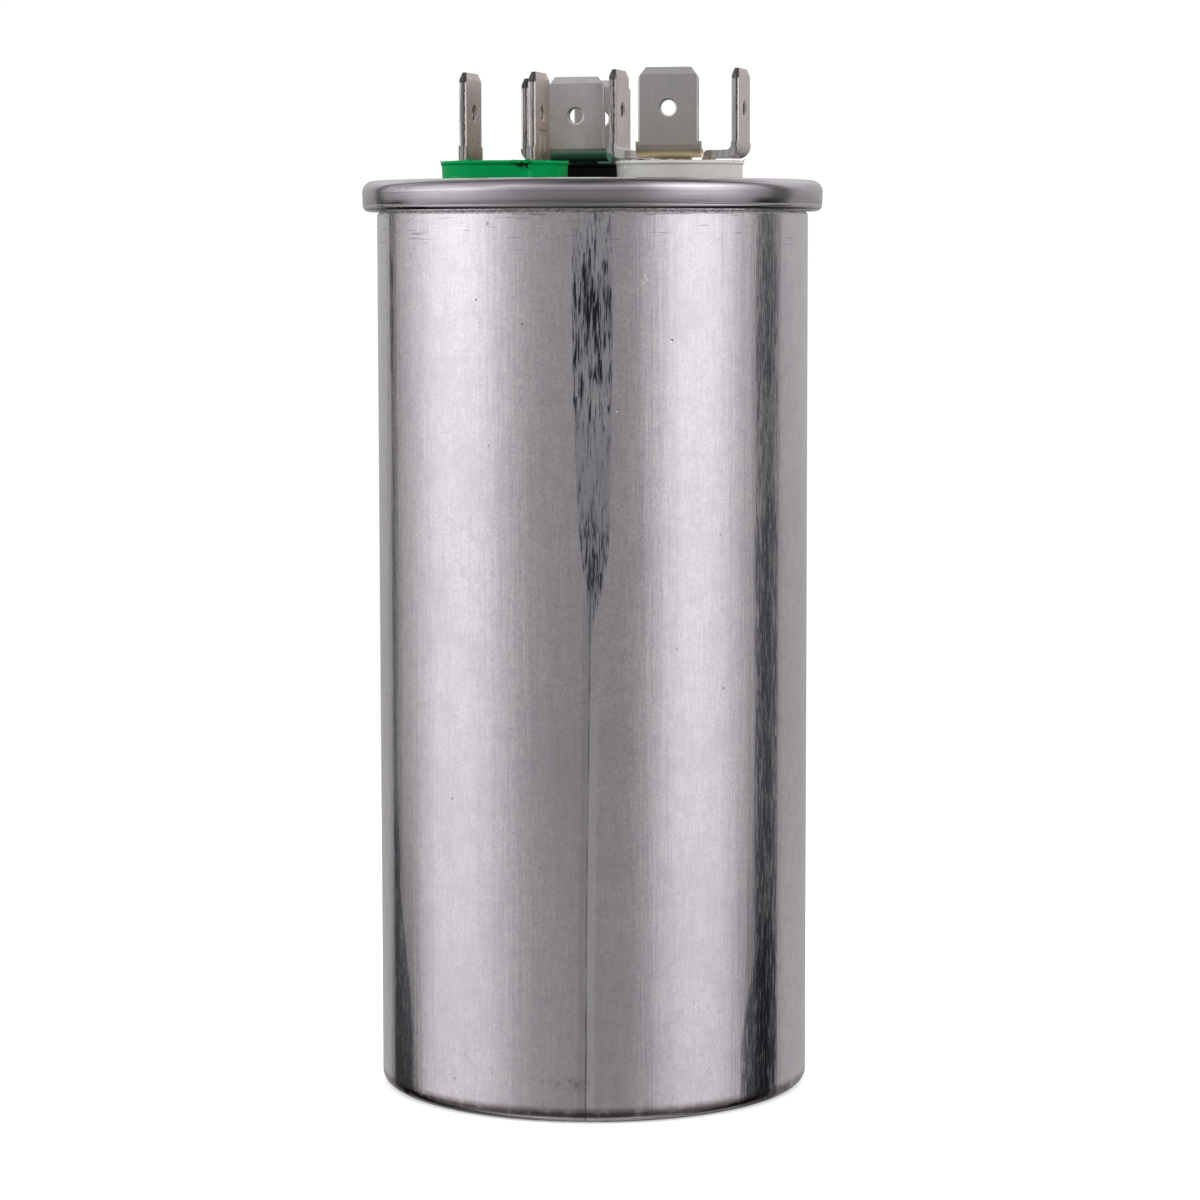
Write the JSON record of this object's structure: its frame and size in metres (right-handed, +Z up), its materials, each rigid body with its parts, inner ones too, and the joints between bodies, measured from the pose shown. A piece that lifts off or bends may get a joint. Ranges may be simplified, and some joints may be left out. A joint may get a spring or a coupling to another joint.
{
  "type": "motor run capacitor",
  "caption": "Round metal-can motor run capacitor with a seamed lid, coloured terminal cups and upright push-on blades.",
  "frame": {"origin": "centre of the can's foot, on the plane it stands on", "axes": "+Z up the can towards its terminals; -Y faces the camera of the picture, +X is to its right"},
  "size_m": [0.048, 0.048, 0.1063],
  "materials": {
    "can_metal": "drawn and brushed",
    "lid_metal": "stamped",
    "blade_metal": "tinned",
    "green_plastic": "moulded",
    "white_plastic": "moulded",
    "black_plastic": "moulded",
    "insulator": "moulded",
    "seal_rubber": "matte",
    "rivet_metal": "tinned",
    "lead_sleeve": "insulated",
    "film": "metallised film",
    "clear_film": "plain film",
    "sprayed_zinc": "sprayed"
  },
  "bodies": {
    "root": {"can": "can_metal", "lid": "lid_metal", "seam_seal": "seal_rubber", "base_fan": "green_plastic", "base_herm": "white_plastic", "base_common": "black_plastic", "gasket_fan": "seal_rubber", "gasket_herm": "seal_rubber", "gasket_common": "seal_rubber", "blades_fan": "blade_metal", "blades_herm": "blade_metal", "blade_herm_front": "blade_metal", "blades_common": "blade_metal", "blades_common_cross": "blade_metal", "rivet_fan": "rivet_metal", "rivet_herm": "rivet_metal", "rivet_common": "rivet_metal", "washer_fan": "insulator", "washer_herm": "insulator", "washer_common": "insulator", "lug_fan": "blade_metal", "lug_herm": "blade_metal", "lug_common": "blade_metal", "lead_fan": "lead_sleeve", "lead_herm": "lead_sleeve", "lead_common": "lead_sleeve", "winding_fan": "film", "winding_herm": "film", "divider_film": "clear_film", "contact_common": "sprayed_zinc", "contact_fan": "sprayed_zinc", "contact_herm": "sprayed_zinc", "core_tube": "insulator", "sleeve": "insulator", "bottom_spacer": "insulator", "top_spacer": "insulator"}
  },
  "joints": []
}
